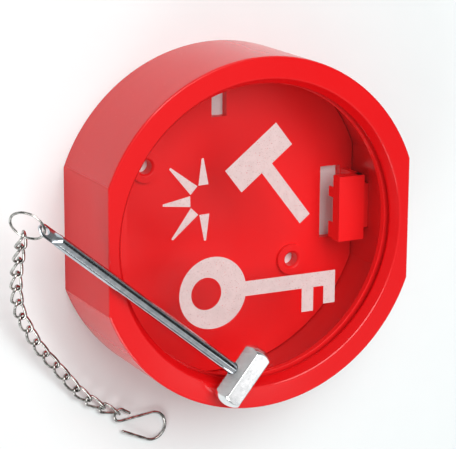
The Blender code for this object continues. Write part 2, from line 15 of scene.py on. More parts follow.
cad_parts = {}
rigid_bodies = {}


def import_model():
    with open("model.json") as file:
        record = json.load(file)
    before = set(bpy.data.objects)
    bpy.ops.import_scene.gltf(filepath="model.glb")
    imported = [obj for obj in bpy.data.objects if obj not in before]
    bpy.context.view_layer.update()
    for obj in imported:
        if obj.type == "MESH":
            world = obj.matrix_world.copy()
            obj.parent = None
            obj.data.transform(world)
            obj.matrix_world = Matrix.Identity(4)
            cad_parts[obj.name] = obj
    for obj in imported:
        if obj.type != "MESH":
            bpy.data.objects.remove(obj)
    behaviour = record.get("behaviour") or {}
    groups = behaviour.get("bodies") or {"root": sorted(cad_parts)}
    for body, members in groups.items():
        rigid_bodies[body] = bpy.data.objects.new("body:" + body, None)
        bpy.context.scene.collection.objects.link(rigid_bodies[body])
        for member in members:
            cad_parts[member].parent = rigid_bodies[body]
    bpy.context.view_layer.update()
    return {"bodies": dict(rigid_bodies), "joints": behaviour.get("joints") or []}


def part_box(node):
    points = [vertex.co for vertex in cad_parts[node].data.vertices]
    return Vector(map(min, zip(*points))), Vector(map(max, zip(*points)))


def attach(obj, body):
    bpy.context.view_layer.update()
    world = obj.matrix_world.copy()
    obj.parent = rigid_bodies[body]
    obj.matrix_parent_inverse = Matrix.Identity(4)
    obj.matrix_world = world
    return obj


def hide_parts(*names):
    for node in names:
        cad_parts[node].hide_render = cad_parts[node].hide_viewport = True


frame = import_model()
MM = 0.001
joints = {joint["child"]: joint for joint in frame["joints"]}

# %% [markdown]
# ## Camera
# A long lens from well above and a little to the left flattens the round rim only slightly, as
# in a catalogue picture.  The camera is turned with a look-at: its -Z axis points at the target
# and its Y axis stays as close as it can to the box's +Y.

# %% Camera
CAMERA_AT = Vector((-309.39, 168.15, 619.80)) * MM
CAMERA_TARGET = Vector((-2.24, -1.04, 15.0)) * MM
CAMERA_ROLL = 0.357  # degrees
CAMERA_LENS = 160.56  # millimetres, on a sensor 36 mm wide


def look_at(place, target, up=(0, 1, 0)):
    """The matrix of an object at a place, its -Z axis towards the target."""
    back = (place - target).normalized()
    right = Vector(up).cross(back).normalized()
    turn = Matrix((right, back.cross(right), back)).transposed().to_4x4()
    return Matrix.Translation(place) @ turn


lens = bpy.data.cameras.new("camera")
lens.lens = CAMERA_LENS
lens.sensor_width = 36.0
lens.clip_start = 0.01
camera = bpy.data.objects.new("camera", lens)
camera.matrix_world = look_at(CAMERA_AT, CAMERA_TARGET) @ Matrix.Rotation(
    radians(CAMERA_ROLL), 4, "Z"
)
scene = bpy.context.scene
scene.collection.objects.link(camera)
scene.camera = camera
print("camera at", [round(x, 3) for x in CAMERA_AT])

# %% [markdown]
# ## Shader arithmetic
# A procedural finish is mostly small sums on numbers that vary over the surface.  Written as
# Python expressions they stay readable, so a Field wraps one socket and adds a Math node for
# each operator.  A Finish is one material, with one method for every other kind of node.


# %% Fields and finishes
class Field:
    """A number, colour or vector that varies over a surface."""

    def __init__(self, finish, socket):
        self.finish = finish
        self.socket = socket

    def math(self, operation, first, second):
        settings = {"operation": operation}
        return self.finish.node("ShaderNodeMath", settings, {0: first, 1: second})

    def __add__(self, other):
        return self.math("ADD", self, other)

    __radd__ = __add__

    def __sub__(self, other):
        return self.math("SUBTRACT", self, other)

    def __rsub__(self, other):
        return self.math("SUBTRACT", other, self)

    def __mul__(self, other):
        return self.math("MULTIPLY", self, other)

    __rmul__ = __mul__

    def __truediv__(self, other):
        return self.math("DIVIDE", self, other)

    def __rtruediv__(self, other):
        return self.math("DIVIDE", other, self)

    def __abs__(self):
        return self.math("ABSOLUTE", self, 0.0)


class Finish:
    """One material: a Principled shader, and the nodes that feed it."""

    def __init__(self, name, tree=None):
        if tree is None:
            self.material = bpy.data.materials.new(name)
            self.material.use_nodes = True
            tree = self.material.node_tree
            self.shader = tree.nodes["Principled BSDF"]
        self.tree = tree

    def node(self, kind, settings=None, values=None, out=0):
        """Adds a node: its settings first, then the values or links of its sockets."""
        made = self.tree.nodes.new(kind)
        for key, setting in (settings or {}).items():
            if key == "stops":
                self.set_stops(made.color_ramp.elements, setting)
            else:
                setattr(made, key, setting)
        for key, value in (values or {}).items():
            self.put(made.inputs[key], value)
        return Field(self, made.outputs[out])

    def set_stops(self, elements, stops):
        while len(elements) < len(stops):
            elements.new(1.0)
        for element, (position, value) in zip(elements, stops):
            element.position = position
            element.color = (value, value, value, 1.0)

    def put(self, socket, value):
        if isinstance(value, Field):
            self.tree.links.new(value.socket, socket)
        else:
            socket.default_value = value

    def wear(self, values):
        """Sets or links sockets of the Principled shader."""
        for key, value in values.items():
            self.put(self.shader.inputs[key], value)

    def place(self, scale=(1, 1, 1), turn=(0, 0, 0)):
        """Object coordinates, turned and stretched."""
        coords = self.node("ShaderNodeTexCoord", out="Object")
        values = {"Vector": coords, "Rotation": turn, "Scale": scale}
        return self.node("ShaderNodeMapping", {"vector_type": "POINT"}, values)

    def noise(self, size, detail=2.0, roughness=0.5, place=None):
        """Noise whose blotches are about so many metres across, from 0 to 1."""
        values = {"Scale": 1 / size, "Detail": detail, "Roughness": roughness}
        values["Vector"] = place or self.node("ShaderNodeTexCoord", out="Object")
        return self.node("ShaderNodeTexNoise", None, values)

    def ramp(self, field, *stops):
        """Turns one number into another, by (position, value) stops."""
        return self.node("ShaderNodeValToRGB", {"stops": stops}, {"Fac": field})

    def mix(self, share, first, second, blend="MIX"):
        """Goes from the first colour to the second as the share goes from 0 to 1."""
        settings = {"data_type": "RGBA", "blend_type": blend}
        return self.node("ShaderNodeMix", settings, {0: share, 6: first, 7: second}, out=2)

    def bump(self, height, depth):
        """A normal tilted by a height from 0 to 1, so many metres deep."""
        values = {"Height": height, "Distance": depth, "Strength": 1.0}
        return self.node("ShaderNodeBump", None, values)


def colour(red, green, blue):
    """A colour with the opacity that a socket expects."""
    return (red, green, blue, 1.0)


print("shader arithmetic ready")

# %% [markdown]
# ## Red plastic
# The housing is injection-moulded in glossy red plastic.  A moulded gloss is never a perfect
# mirror: the skin ripples a little, flow marks make it slightly duller in long clouds, and
# dust settles on it in fine specks.  The two flats are duller than the round, so the roughness
# rises where a point is as far out sideways as they are.  The same recipe, less glossy, serves
# the inner plate, but its red is painted brighter, as painted light that stands in for the
# light the deep shell keeps from the inside.


# %% Red plastic
FLAT_REACH = 60 * MM
FLAT_FROM = 0.9395  # where the flats begin, as a share of that reach
FLAT_FADE = 0.004
PEEL = 0.03 * MM  # depth of the ripple in the moulded skin
DUST_TINT = (0.92, 0.42, 0.38)


def across_flats(made):
    """How far a point is from the box's middle plane, as a share of the reach."""
    sideways = made.node("ShaderNodeSeparateXYZ", None, {"Vector": made.place()}, out="X")
    return abs(sideways) / FLAT_REACH


def red_plastic(name, base, deep, glossiest, dullest):
    """Moulded red between two tints and two roughnesses."""
    made = Finish(name)
    clouds = made.noise(38 * MM, 2.0)
    grain = made.noise(1.1 * MM, 3.0)
    flow = made.noise(16 * MM, 3.0, place=made.place(scale=(1.0, 0.35, 1.0)))
    dust = made.ramp(made.noise(0.5 * MM, 2.0, 0.6), (0.70, 0.0), (0.78, 1.0))
    matte = made.ramp(across_flats(made), (FLAT_FROM, 0.0), (FLAT_FROM + FLAT_FADE, 1.0))
    ripple = made.noise(3.2 * MM, 2.0)
    tint = made.mix(clouds, colour(*deep), colour(*base))
    made.wear(
        {
            "Base Color": made.mix(dust * 0.10, tint, colour(*DUST_TINT)),
            "Roughness": flow * (dullest - glossiest) + dust * 0.15 + matte * 0.30 + glossiest,
            "Normal": made.bump(ripple * 0.8 + grain * 0.2, PEEL),
            "IOR": 1.45,
        }
    )
    return made.material


housing_red = red_plastic(
    "housing_red", base=(0.71, 0.005, 0.007), deep=(0.65, 0.004, 0.006), glossiest=0.13, dullest=0.24
)
# the plate's red is painted brighter than the housing's: painted light for the shaded inside of the
# box, worn by the plate and the glass retainer
plate_red_painted_light = red_plastic(
    "plate_red_painted_light", base=(0.90, 0.006, 0.009), deep=(0.84, 0.005, 0.007), glossiest=0.30, dullest=0.46
)
print("red plastic: housing and plate")

# %% [markdown]
# ## Clear glass
# The pane is thin and clear.  A low, even opacity lets the light through without noise and
# still leaves some gloss on the face.  A breath of dust and a few wiped smears keep it from
# vanishing.

# %% Clear glass
glass = Finish("clear_glass")
smears = glass.noise(22 * MM, 3.0, place=glass.place(scale=(1.0, 0.3, 1.0), turn=(0, 0, 0.6)))
specks = glass.ramp(glass.noise(0.45 * MM, 1.0), (0.74, 0.0), (0.80, 1.0))
glass.wear(
    {
        "Base Color": colour(0.05, 0.055, 0.055),
        "Roughness": smears * 0.08 + 0.02,
        "Alpha": smears * 0.04 + specks * 0.05 + 0.01,
        "IOR": 1.5,
    }
)
pane_glass = glass.material
print("clear glass ready")

# %% [markdown]
# ## White print
# The sign on the pane is screen-printed in white ink.  The ink is thin, so some of the red
# behind shows through and warms it, and the mesh of the screen leaves a fine unevenness.

# %% White print
ink = Finish("white_ink")
film = ink.noise(2.5 * MM, 3.0)
holes = ink.ramp(ink.noise(0.4 * MM, 1.0), (0.26, 0.0), (0.34, 1.0))
ink.wear(
    {
        "Base Color": ink.mix(film, colour(0.66, 0.52, 0.51), colour(0.75, 0.60, 0.59)),
        "Roughness": film * 0.2 + 0.4,
        "Alpha": (film * 0.10 + 0.74) * holes,
    }
)
print_ink = ink.material
print("white print ready")

# %% [markdown]
# ## Chrome and nickel
# The hammer is chromed and the ring, chain and hook are nickel-plated wire.  All are metals, so
# their colour is in the reflection.  One recipe serves three platings: the rod's is cool, with
# fine slanting streaks, the head's is whiter and a little duller, and the wire's nickel is warm
# and goes dark in blotches, as it does where polish doesn't reach.


# %% Chrome and nickel
STREAK_TURN = 0.686  # radians; it turns the pattern after it is stretched


def bright_plating(name, bright, dull, glossiest, dullest, depth, stretch=1.0):
    """A worn metal skin, with fine streaks that may be drawn out along the Y axis."""
    made = Finish(name)
    wear = made.noise(2.2 * MM, 4.0, 0.6)
    brushed = made.place(scale=(1, stretch, 1), turn=(0, 0, STREAK_TURN))
    lines = made.noise(1.0 * MM, 3.0, 0.6, place=brushed)
    pits = made.ramp(made.noise(0.35 * MM, 2.0), (0.24, 1.0), (0.32, 0.0))
    tone = made.ramp(wear, (0.35, 0.0), (0.65, 1.0))
    made.wear(
        {
            "Base Color": made.mix(tone - pits * 0.5, colour(*dull), colour(*bright)),
            "Metallic": 1.0,
            "Roughness": lines * (dullest - glossiest) + pits * 0.2 + glossiest,
            "Normal": made.bump(lines * 0.6 + wear * 0.4, depth),
        }
    )
    return made.material


rod_chrome = bright_plating(
    "rod_chrome", (0.66, 0.70, 0.74), (0.48, 0.52, 0.56), 0.10, 0.22, 0.006 * MM, stretch=0.08
)
head_chrome = bright_plating(
    "head_chrome", (0.88, 0.88, 0.89), (0.74, 0.75, 0.76), 0.14, 0.28, 0.010 * MM
)
wire_nickel = bright_plating(
    "wire_nickel", (0.68, 0.67, 0.64), (0.17, 0.165, 0.155), 0.07, 0.18, 0.02 * MM
)
print("chrome and nickel ready")

# %% [markdown]
# ## From a bmesh to a piece
# Each piece is shaped as a bmesh in its own handy frame, moved to its place, and then becomes an
# object at the origin.  Soft edges are shaded smooth and real corners stay sharp, and weighted
# normals keep the flat faces flat.  A few shapes are cut with Booleans first.

# %% Piece helpers
SHARP = 28.0  # degrees between two faces, from which their edge is a real corner
SAME_POINT = 0.0005 * MM


def finish_piece(name, bm, body, node, material, place=None, sharp=SHARP):
    """Turns a bmesh into a piece that rides on a body and stands for a node."""
    if place is not None:
        bmesh.ops.transform(bm, matrix=place, verts=bm.verts)
    bmesh.ops.remove_doubles(bm, verts=bm.verts, dist=SAME_POINT)
    bmesh.ops.recalc_face_normals(bm, faces=bm.faces)
    for face in bm.faces:
        face.smooth = True
    for edge in bm.edges:
        edge.smooth = edge.calc_face_angle(0.0) < radians(sharp)
    mesh = bpy.data.meshes.new(name)
    bm.to_mesh(mesh)
    bm.free()
    mesh.materials.append(material)
    piece = bpy.data.objects.new(name, mesh)
    scene.collection.objects.link(piece)
    normals = piece.modifiers.new("flat faces stay flat", "WEIGHTED_NORMAL")
    normals.keep_sharp = True
    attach(piece, body)
    if node:
        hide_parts(node)
    print(name, "faces:", len(mesh.polygons))
    return piece


def joined(base, others, operation):
    """The base bmesh with others cut from it, added to it, or kept from it."""
    holders = []
    for number, bm in enumerate([base, *others]):
        mesh = bpy.data.meshes.new(f"blank_{number}")
        bmesh.ops.recalc_face_normals(bm, faces=bm.faces)
        bm.to_mesh(mesh)
        bm.free()
        holder = bpy.data.objects.new(f"blank_{number}", mesh)
        scene.collection.objects.link(holder)
        holders.append(holder)
    for other in holders[1:]:
        cut = holders[0].modifiers.new("cut", "BOOLEAN")
        cut.object = other
        cut.operation = operation
        cut.solver = "EXACT"
    bpy.context.view_layer.update()
    graph = bpy.context.evaluated_depsgraph_get()
    result = bmesh.new()
    result.from_mesh(holders[0].evaluated_get(graph).to_mesh())
    for holder in holders:
        mesh = holder.data
        bpy.data.objects.remove(holder)
        bpy.data.meshes.remove(mesh)
    bmesh.ops.remove_doubles(result, verts=result.verts, dist=SAME_POINT)
    return result


def round_edges(bm, wanted, width, segments=3):
    """Rounds the edges for which wanted(edge) is true."""
    edges = [e for e in bm.edges if len(e.link_faces) == 2 and wanted(e)]
    bmesh.ops.bevel(
        bm,
        geom=edges,
        offset=width,
        segments=segments,
        profile=0.5,
        affect="EDGES",
        material=-1,
        clamp_overlap=True,
    )
    return len(edges)


def drum(low, high, radius, steps, top_radius=None):
    """An upright solid cylinder or cone from one height to another."""
    bm = bmesh.new()
    bmesh.ops.create_cone(
        bm,
        cap_ends=True,
        segments=steps,
        radius1=radius,
        radius2=radius if top_radius is None else top_radius,
        depth=high - low,
        matrix=Matrix.Translation((0, 0, (low + high) / 2)),
    )
    return bm


def block(low, high):
    """A solid block between two corners."""
    bm = bmesh.new()
    low, high = Vector(low), Vector(high)
    size = Matrix.Diagonal((*(high - low), 1))
    bmesh.ops.create_cube(bm, size=1.0, matrix=Matrix.Translation((low + high) / 2) @ size)
    return bm


def cut_flats(bm, half):
    """Cuts the sides of a solid flat at X = -half and X = half."""
    for side in (-1, 1):
        cut = bmesh.ops.bisect_plane(
            bm,
            geom=bm.verts[:] + bm.edges[:] + bm.faces[:],
            plane_co=(side * half, 0, 0),
            plane_no=(side, 0, 0),
            clear_outer=True,
        )["geom_cut"]
        edges = [item for item in cut if isinstance(item, bmesh.types.BMEdge)]
        bmesh.ops.holes_fill(bm, edges=edges)
    return bm


def angle_of(edge):
    """How far the surface turns at an edge."""
    return edge.calc_face_angle(0.0)


def height_of(edge):
    """The height of an edge's middle."""
    return (edge.verts[0].co.z + edge.verts[1].co.z) / 2


def is_level(edge):
    """Whether both ends of an edge are equally high."""
    return abs(edge.verts[0].co.z - edge.verts[1].co.z) < 0.001 * MM


def radius_of(edge):
    """How far an edge's middle is from the box's axis."""
    middle = (edge.verts[0].co + edge.verts[1].co) / 2
    return middle.xy.length


print("piece helpers ready")

# %% [markdown]
# ## Housing shell
# The shell is a deep round cap with two sides cut flat.  Inside the rim a slightly tapered mouth
# leads down to a thin lip, and the glass sits against the back of that lip in a round pocket.
# The quickest clean way is a fine-stepped solid cylinder, cut by the same few shapes that the
# mould has, whose edges are then rounded by how they are used: wide on the outer rim, which
# hands touch, and narrow on the lip.

# %% Housing shell
STEPS = 256  # flat steps in a full turn
HALF_FLATS, BOX_RADIUS, BOX_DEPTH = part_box("housing_shell")[1]
WALL = 3.0 * MM
MOUTH_RADIUS = 53.0 * MM
VIEW_RADIUS = 51.0 * MM
POCKET_RADIUS = 53.1 * MM
LIP_LOW = 33.5 * MM
LIP_TOP = 34.1 * MM
POCKET_LOW = 27.5 * MM
OVER = 1.0 * MM  # how far a cutting shape reaches past what it cuts
GROOVE_IN, GROOVE_OUT = 51.0 * MM, 54.85 * MM
GROOVE_LOW, GROOVE_HIGH = 11.9 * MM, 14.9 * MM
GROOVE_HALF = 8.3 * MM
RIM_ROUND, MOUTH_ROUND, LIP_ROUND = 0.8 * MM, 0.55 * MM, 0.18 * MM
NEAR = 0.5 * MM  # an edge this near a radius or a height counts as on it

shell = cut_flats(drum(0, BOX_DEPTH, BOX_RADIUS, STEPS), HALF_FLATS)
slope = (MOUTH_RADIUS - VIEW_RADIUS) / (BOX_DEPTH - LIP_TOP)
cavity = cut_flats(drum(-OVER, POCKET_LOW, BOX_RADIUS - WALL, STEPS), HALF_FLATS - WALL)
pocket = drum(POCKET_LOW - OVER, LIP_LOW, POCKET_RADIUS, STEPS)
mouth = drum(LIP_TOP, BOX_DEPTH + OVER, VIEW_RADIUS, STEPS, MOUTH_RADIUS + slope * OVER)
sight = drum(LIP_LOW - OVER, LIP_TOP + OVER / 2, VIEW_RADIUS, STEPS)
grooves = [
    block((start, -GROOVE_HALF, GROOVE_LOW), (end, GROOVE_HALF, GROOVE_HIGH))
    for start, end in ((-GROOVE_OUT, -GROOVE_IN), (GROOVE_IN, GROOVE_OUT))
]
shell = joined(shell, [cavity, pocket, mouth, sight, *grooves], "DIFFERENCE")


def on_front(edge):
    """Whether a corner edge runs level at the very front of the box."""
    return is_level(edge) and height_of(edge) > BOX_DEPTH - NEAR and angle_of(edge) > radians(30)


def on_outer_rim(edge):
    return on_front(edge) and radius_of(edge) > HALF_FLATS - NEAR


def on_mouth(edge):
    return on_front(edge) and radius_of(edge) < MOUTH_RADIUS + NEAR


def on_lip(edge):
    at_lip = abs(height_of(edge) - LIP_TOP) < LIP_ROUND / 2
    return is_level(edge) and at_lip and angle_of(edge) > radians(17)


rounded = round_edges(shell, on_outer_rim, RIM_ROUND, 4)
rounded += round_edges(shell, on_mouth, MOUTH_ROUND)
rounded += round_edges(shell, on_lip, LIP_ROUND, 2)
print("rounded edges of the shell:", rounded)
finish_piece("shell", shell, "box", "housing_shell", housing_red, sharp=14)

# %% [markdown]
# ## Back plate
# The plate closes the back and screws to the wall.  It has a slot to hang it by, two screw holes
# in low bosses, and beside each flat a bracket whose ledge reaches in over its own slot, with two
# small lips that hold the key.  The brackets are plain blocks joined to the plate.  The whole
# plate is moulded, so all its corners get a small radius.

# %% Back plate
PLATE = 3.3 * MM
PLATE_RADIUS = 57.2 * MM
PLATE_HALF = 53.35 * MM
LEDGE_IN, LEDGE_OUT = 40.8 * MM, 51.0 * MM
LEDGE_HALF = 11.7 * MM
LEDGE_LOW, LEDGE_TOP = 12.1 * MM, 16.6 * MM
UPRIGHT, UPRIGHT_TOP = 2.2 * MM, 15.9 * MM
NOSE_OUT, NOSE_HALF = GROOVE_OUT - 0.3 * MM, 8.0 * MM
NOSE_LOW, NOSE_TOP = 12.2 * MM, 14.6 * MM
CATCH_IN, CATCH_OUT = 41.1 * MM, 42.0 * MM
CATCH_LOW, CATCH_TOP = 8.5 * MM, 13.0 * MM
CATCH_SPANS = ((-11.4 * MM, -5.8 * MM), (3.4 * MM, 7.0 * MM))
HOLE_AT = Vector((28.5, -19.5, 0)) * MM
HOLE_RADIUS, DISH_RADIUS, DISH_RISE = 2.5 * MM, 4.2 * MM, 0.9 * MM
BOSS_RADIUS, BOSS_RISE = 5.5 * MM, 1.6 * MM
SLOT_IN, SLOT_OUT, SLOT_HALF = 40.5 * MM, 48.5 * MM, 13.0 * MM
HANG_HALF, HANG_LOW, HANG_TOP = 2.85 * MM, 34.5 * MM, 45.5 * MM
PLATE_ROUND = 0.22 * MM


def bracket():
    """The upright, ledge, nose and two small lips beside the +X flat."""
    return [
        block((LEDGE_OUT - UPRIGHT, -LEDGE_HALF, PLATE / 2), (LEDGE_OUT, LEDGE_HALF, UPRIGHT_TOP)),
        block((LEDGE_IN, -LEDGE_HALF, LEDGE_LOW), (LEDGE_OUT, LEDGE_HALF, LEDGE_TOP)),
        block((LEDGE_OUT - OVER, -NOSE_HALF, NOSE_LOW), (NOSE_OUT, NOSE_HALF, NOSE_TOP)),
        *(
            block((CATCH_IN, start, CATCH_LOW), (CATCH_OUT, end, CATCH_TOP))
            for start, end in CATCH_SPANS
        ),
    ]


def window(x_low, y_low, x_high, y_high):
    """A block that cuts a rectangle right through the plate."""
    return block((x_low, y_low, -OVER), (x_high, y_high, PLATE + OVER))


plate = cut_flats(drum(0, PLATE, PLATE_RADIUS, STEPS // 2), PLATE_HALF)
added, removed = [], []
for turn in (pi, 0):
    boss = drum(PLATE / 2, PLATE + BOSS_RISE, BOSS_RADIUS, STEPS // 4)
    hole = drum(-OVER, PLATE + 3 * OVER, HOLE_RADIUS, STEPS // 4)
    dish_top = PLATE + BOSS_RISE + OVER
    dish = drum(PLATE + DISH_RISE, dish_top, HOLE_RADIUS, STEPS // 4, DISH_RADIUS)
    for solid in (boss, hole, dish):
        bmesh.ops.translate(solid, vec=HOLE_AT, verts=solid.verts)
    raised = [*bracket(), boss]
    sunk = [hole, dish, window(SLOT_IN, -SLOT_HALF, SLOT_OUT, SLOT_HALF)]
    for solid in raised + sunk:
        bmesh.ops.transform(solid, matrix=Matrix.Rotation(turn, 4, "Z"), verts=solid.verts)
    added += raised
    removed += sunk
removed.append(window(-HANG_HALF, HANG_LOW, HANG_HALF, HANG_TOP))
plate = joined(joined(plate, added, "UNION"), removed, "DIFFERENCE")
bmesh.ops.dissolve_limit(plate, angle_limit=radians(0.5), verts=plate.verts, edges=plate.edges)
rounded = round_edges(plate, lambda e: angle_of(e) > radians(40), PLATE_ROUND, 2)
print("rounded edges of the plate:", rounded)
finish_piece("plate", plate, "box", "back_plate", plate_red_painted_light)

# %% [markdown]
# ## Glass and its retainer
# The pane is a disc with ground edges, and a plain ring pressed in behind it keeps it there.  A
# disc with a bevel all round is enough for the pane.  The ring is one closed profile, spun once
# round the axis.


# %% Glass and its retainer
def spun(profile, steps):
    """A closed ring from a closed profile of (radius, height) points."""
    bm = bmesh.new()
    verts = [bm.verts.new((radius, 0, height)) for radius, height in profile]
    edges = [bm.edges.new(pair) for pair in zip(verts, verts[1:] + verts[:1])]
    bmesh.ops.spin(
        bm,
        geom=verts + edges,
        cent=(0, 0, 0),
        axis=(0, 0, 1),
        angle=2 * pi,
        steps=steps,
        use_merge=True,
    )
    return bm


GLASS_LOW, GLASS_TOP = 31.2 * MM, 33.2 * MM
GLASS_RADIUS = 52.8 * MM
GROUND_EDGE = 0.3 * MM
pane = drum(GLASS_LOW, GLASS_TOP, GLASS_RADIUS, STEPS)
round_edges(pane, lambda e: angle_of(e) > radians(60), GROUND_EDGE, 2)
finish_piece("pane", pane, "box", "glass_pane", pane_glass)

RETAINER_TOP, RETAINER_LOW, RETAINER_IN = 30.9 * MM, 28.5 * MM, 50.6 * MM
LEAD_IN, RETAINER_ROUND = 0.6 * MM, 0.25 * MM
retainer = spun(
    [
        (GLASS_RADIUS, RETAINER_TOP),
        (GLASS_RADIUS, RETAINER_LOW + LEAD_IN),
        (GLASS_RADIUS - LEAD_IN, RETAINER_LOW),
        (RETAINER_IN, RETAINER_LOW),
        (RETAINER_IN, RETAINER_TOP),
    ],
    STEPS,
)
round_edges(retainer, lambda e: angle_of(e) > radians(69), RETAINER_ROUND, 2)
finish_piece("retainer", retainer, "box", "glass_retainer", plate_red_painted_light)

# %% [markdown]
# ## Printed sign
# A sign on the glass tells what the box is for.  Ours has no words: a hammer strikes a starred
# crack, and below it lies a key.  Each figure is built flat from discs, bars and cones, joined
# with Booleans, and is as thin as a film of ink on the front of the pane.

# %% Printed sign
INK_LOW, INK_TOP = GLASS_TOP + 0.02 * MM, GLASS_TOP + 0.07 * MM


def disc(x, y, radius, grow=0.0):
    """A round of ink, or with grow a taller one that cuts through ink."""
    bm = drum(INK_LOW - grow, INK_TOP + grow, radius, 96)
    bmesh.ops.translate(bm, vec=(x, y, 0), verts=bm.verts)
    return bm


def bar(x_low, y_low, x_high, y_high, turn=0.0, about=(0, 0)):
    """An upright rectangle of ink, turned by some degrees about a point."""
    bm = block((x_low, y_low, INK_LOW), (x_high, y_high, INK_TOP))
    turned = Matrix.Rotation(radians(turn), 3, "Z")
    bmesh.ops.rotate(bm, verts=bm.verts, cent=(*about, 0), matrix=turned)
    return bm


def key_figure():
    """A key on its side: a round bow with a hole, a shaft, and two teeth."""
    y, end = -19 * MM, 30 * MM
    bow_x, bow_radius = -17 * MM, 12.5 * MM
    hole_x, hole_radius = -19.5 * MM, 5.6 * MM
    shaft_half, tooth_root = 2.6 * MM, 1 * MM
    shaft = bar(-8 * MM, y - shaft_half, end, y + shaft_half)
    long_tooth = bar(17 * MM, y - 11 * MM, 21.5 * MM, y - tooth_root)
    short_tooth = bar(25.5 * MM, y - 9 * MM, end, y - tooth_root)
    key = joined(disc(bow_x, y, bow_radius), [shaft, long_tooth, short_tooth], "UNION")
    return joined(key, [disc(hole_x, y, hole_radius, OVER)], "DIFFERENCE")


def hammer_figure():
    """A small hammer, tilted, about to strike."""
    about, tilt = (6 * MM, 18 * MM), 38
    shaft = bar(3.6 * MM, -1 * MM, 8.4 * MM, 27 * MM, tilt, about)
    striker = bar(-6 * MM, 23 * MM, 18 * MM, 33 * MM, tilt, about)
    return joined(shaft, [striker], "UNION")


def crack_ray(turn, reach):
    """A four-sided cone laid down, pointing away from the blow and pressed flat."""
    root, wide, fine = 5 * MM, 2.6 * MM, 0.5 * MM
    ray = bmesh.new()
    bmesh.ops.create_cone(
        ray,
        cap_ends=True,
        segments=4,
        radius1=wide,
        radius2=fine,
        depth=reach - root,
        matrix=Matrix.Rotation(pi / 4, 4, "Z"),
    )
    spread = Matrix.Rotation(radians(turn), 4, "Z")
    spread @= Matrix.Translation(((reach + root) / 2, 0, 0))
    laid_down = spread @ Matrix.Rotation(pi / 2, 4, "Y")
    bmesh.ops.transform(ray, matrix=laid_down, verts=ray.verts)
    bmesh.ops.scale(ray, vec=(1, 1, (INK_TOP - INK_LOW) / (2 * wide)), verts=ray.verts)
    blow = Vector((-20.5 * MM, 13.5 * MM, (INK_LOW + INK_TOP) / 2))
    bmesh.ops.translate(ray, vec=blow, verts=ray.verts)
    return ray


def crack_figure():
    """Five tapered rays that spread from the blow, the slanting ones longer."""
    turns = [92 + 45 * number for number in range(5)]
    reaches = [14 * MM, 17 * MM, 15 * MM, 17 * MM, 14 * MM]
    rays = [crack_ray(turn, reach) for turn, reach in zip(turns, reaches)]
    return joined(rays[0], rays[1:], "UNION")


for name, figure in (
    ("printed_key", key_figure()),
    ("printed_hammer", hammer_figure()),
    ("printed_crack", crack_figure()),
):
    finish_piece(name, figure, "box", None, print_ink)

# %% [markdown]
# ## Hammer
# The head is a short length of six-sided bar with domed ends, and a round rod is pressed into
# it.  The rod's far end is beaten flat and pierced for the ring.  The head is the bar kept
# inside a domed barrel.  The rod grows by extruding one end face again and again while its
# outline is squashed.

# %% Hammer frame
FLATS = 9.6 * MM
HEAD_HALF = 11.25 * MM
DOME = 4.2 * MM
ROD_RADIUS = 2.1 * MM
EYE_WIDTH = 5.2 * MM
EYE_THICK = 1.0 * MM
EYE_TAPER = 3.5 * MM
EYE_LENGTH = 5.6 * MM
EYE_HOLE = 1.6 * MM
HEX_ROUND = 0.28 * MM
BORE_FLOOR, BORE_GAP = 0.9 * MM, 0.15 * MM
ROD_START = 1.2 * MM


def frame_from(origin, x_axis, z_hint):
    """A matrix with +X along one direction and +Z as near as it can be to another."""
    x_axis = Vector(x_axis).normalized()
    y_axis = Vector(z_hint).cross(x_axis).normalized()
    turn = Matrix((x_axis, y_axis, x_axis.cross(y_axis))).transposed().to_4x4()
    return Matrix.Translation(origin) @ turn


eye = Vector(joints["ring"]["pos_m"])
low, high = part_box("hammer_head")
head_centre = (low + high) / 2
HAMMER_LENGTH = (eye - head_centre).length + EYE_WIDTH / 2
hammer_frame = frame_from(head_centre, eye - head_centre, (0, 0, 1))
eye_frame = frame_from(head_centre, eye - head_centre, joints["ring"]["axis"])
print("hammer length, mm:", round(HAMMER_LENGTH / MM, 1))

# %% Hammer head
head = bmesh.new()
bmesh.ops.create_cone(
    head,
    cap_ends=True,
    segments=6,
    radius1=FLATS / sqrt(3),
    radius2=FLATS / sqrt(3),
    depth=2 * (HEAD_HALF + OVER),
    matrix=Matrix.Rotation(pi / 6, 4, "Y") @ Matrix.Rotation(pi / 2, 4, "X"),
)
round_edges(head, lambda e: abs(e.verts[0].co.y - e.verts[1].co.y) > OVER, HEX_ROUND)
barrel = bmesh.new()
barrel_radius = FLATS / sqrt(3) + 0.3 * MM
DOME_STEPS = 20
sweep = [radians(90 - 90 * step / DOME_STEPS) for step in range(DOME_STEPS + 1)]
side = [(barrel_radius * cos(a), HEAD_HALF - DOME + DOME * sin(a)) for a in sweep]
profile = [barrel.verts.new((max(r, 0.0), h, 0)) for r, h in side]
profile += [barrel.verts.new((max(r, 0.0), -h, 0)) for r, h in reversed(side)]
edges = [barrel.edges.new(pair) for pair in zip(profile, profile[1:])]
bmesh.ops.spin(
    barrel,
    geom=profile + edges,
    cent=(0, 0, 0),
    axis=(0, 1, 0),
    angle=2 * pi,
    steps=96,
    use_merge=True,
)
bmesh.ops.remove_doubles(barrel, verts=barrel.verts, dist=0.001 * MM)
head = joined(head, [barrel], "INTERSECT")
bore = drum(BORE_FLOOR, FLATS, ROD_RADIUS + BORE_GAP, 48)
bmesh.ops.rotate(bore, verts=bore.verts, cent=(0, 0, 0), matrix=Matrix.Rotation(pi / 2, 3, "Y"))
head = joined(head, [bore], "DIFFERENCE")
finish_piece(
    "hammerhead", head, "hammer", "hammer_head", head_chrome, hammer_frame, 22
)

